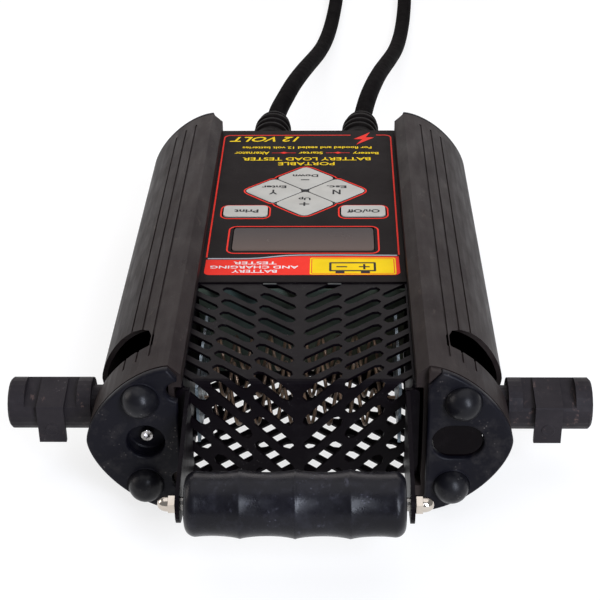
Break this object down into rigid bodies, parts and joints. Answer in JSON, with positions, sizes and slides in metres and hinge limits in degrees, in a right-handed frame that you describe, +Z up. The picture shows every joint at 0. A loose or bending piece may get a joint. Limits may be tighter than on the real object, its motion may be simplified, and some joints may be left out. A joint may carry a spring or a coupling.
{
  "type": "load-type battery tester",
  "caption": "Hand-carried load-type battery tester with a perforated load box, key panel, side housings, roller carrying grip, clamp parking posts and cabled battery clamps.",
  "frame": {"origin": "middle of the underside's bounding box, without the free cables and clamps: on the surface it rests on, midway across the side housings' posts and midway between the front of the grip and the tips of the cable glands", "axes": "+X across the panel to the right for someone facing the carrying grip, +Y from the carrying grip towards the cables, +Z up out of the panel"},
  "size_m": [0.3732, 1.2237, 0.084],
  "materials": {
    "chassis_paint": "semi-gloss black enamel",
    "housing_plastic": "satin, lightly scuffed",
    "cap_plastic": "satin, dusty",
    "rubber": "satin black",
    "grip_rubber": "worn satin",
    "bright_nickel": "bright plated",
    "plain_steel": "plated",
    "overlay_film": "printed polyester, satin",
    "key_film": "printed, satin",
    "display_glass": "grey liquid crystal behind film",
    "smoked_lens": "dark infrared-passing plastic",
    "resistance_wire": "heat-stained alloy wire",
    "tinned_bar": "bright tinned",
    "copper_bar": "bare copper alloy",
    "green_board": "glass-fibre laminate",
    "black_moulding": "matte, scuffed",
    "cable_jacket": "matte black",
    "red_moulding": "moulded, satin"
  },
  "bodies": {
    "chassis": {"acorn_nut_left": "bright_nickel", "acorn_nut_right": "bright_nickel", "black_cable": "cable_jacket", "black_clamp_fixed_jaw": "black_moulding", "black_clamp_pin": "plain_steel", "bottom_panel": "chassis_paint", "bus_bar_left": "tinned_bar", "bus_bar_right": "tinned_bar", "cable_gland_left": "rubber", "cable_gland_right": "rubber", "circuit_board": "green_board", "clamp_post_left": "black_moulding", "clamp_post_right": "black_moulding", "current_shunt": "copper_bar", "display_module": "display_glass", "display_window": "display_glass", "front_cap_left": "cap_plastic", "front_cap_right": "cap_plastic", "grille_cover": "chassis_paint", "handle_bracket_left": "chassis_paint", "handle_bracket_right": "chassis_paint", "handle_rod": "plain_steel", "housing_left": "housing_plastic", "housing_right": "housing_plastic", "infrared_lens": "smoked_lens", "load_coil_1": "resistance_wire", "load_coil_2": "resistance_wire", "load_coil_3": "resistance_wire", "load_relay": "black_moulding", "lower_bumper_left": "rubber", "lower_bumper_right": "rubber", "panel_overlay": "overlay_film", "partition_board": "green_board", "post_saddle_left": "black_moulding", "post_saddle_right": "black_moulding", "rear_cap_left": "cap_plastic", "rear_cap_right": "cap_plastic", "rear_panel": "chassis_paint", "red_cable": "cable_jacket", "red_clamp_fixed_jaw": "red_moulding", "red_clamp_pin": "plain_steel", "side_plate_left": "chassis_paint", "side_plate_right": "chassis_paint", "tie_rod_left": "bright_nickel", "tie_rod_right": "bright_nickel", "top_panel": "chassis_paint", "upper_bumper_left": "rubber", "upper_bumper_right": "rubber"},
    "grip": {"handle_grip": "grip_rubber"},
    "red_jaw": {"red_clamp_moving_jaw": "red_moulding"},
    "black_jaw": {"black_clamp_moving_jaw": "black_moulding"},
    "up_key_body": {"up_key": "key_film"},
    "down_key_body": {"down_key": "key_film"},
    "enter_key_body": {"enter_key": "key_film"},
    "escape_key_body": {"escape_key": "key_film"},
    "print_key_body": {"print_key": "key_film"},
    "power_key_body": {"power_key": "key_film"}
  },
  "joints": [
    {"name": "grip_spin", "type": "hinge", "parent": "chassis", "child": "grip", "pos_m": [0, -0.1982, 0.0438], "axis": [1, 0, 0], "continuous": true},
    {"name": "up_key_press", "type": "slide", "parent": "chassis", "child": "up_key_body", "axis": [0, 0, -1], "range_m": [0, 0.0008], "stiffness_N_per_m": 400},
    {"name": "down_key_press", "type": "slide", "parent": "chassis", "child": "down_key_body", "axis": [0, 0, -1], "range_m": [0, 0.0008], "stiffness_N_per_m": 400},
    {"name": "enter_key_press", "type": "slide", "parent": "chassis", "child": "enter_key_body", "axis": [0, 0, -1], "range_m": [0, 0.0008], "stiffness_N_per_m": 400},
    {"name": "escape_key_press", "type": "slide", "parent": "chassis", "child": "escape_key_body", "axis": [0, 0, -1], "range_m": [0, 0.0008], "stiffness_N_per_m": 400},
    {"name": "print_key_press", "type": "slide", "parent": "chassis", "child": "print_key_body", "axis": [0, 0, -1], "range_m": [0, 0.0008], "stiffness_N_per_m": 400},
    {"name": "power_key_press", "type": "slide", "parent": "chassis", "child": "power_key_body", "axis": [0, 0, -1], "range_m": [0, 0.0008], "stiffness_N_per_m": 400},
    {"name": "red_clamp_open", "type": "hinge", "parent": "chassis", "child": "red_jaw", "pos_m": [0.0372, 0.9444, 0.0126], "axis": [0, 0, -1], "range_deg": [0, 20], "stiffness_Nm_per_rad": 1.2, "springref_deg": -28.65},
    {"name": "black_clamp_open", "type": "hinge", "parent": "chassis", "child": "black_jaw", "pos_m": [0.1268, 0.9444, 0.0126], "axis": [0, 0, -1], "range_deg": [0, 20], "stiffness_Nm_per_rad": 1.2, "springref_deg": -28.65}
  ]
}
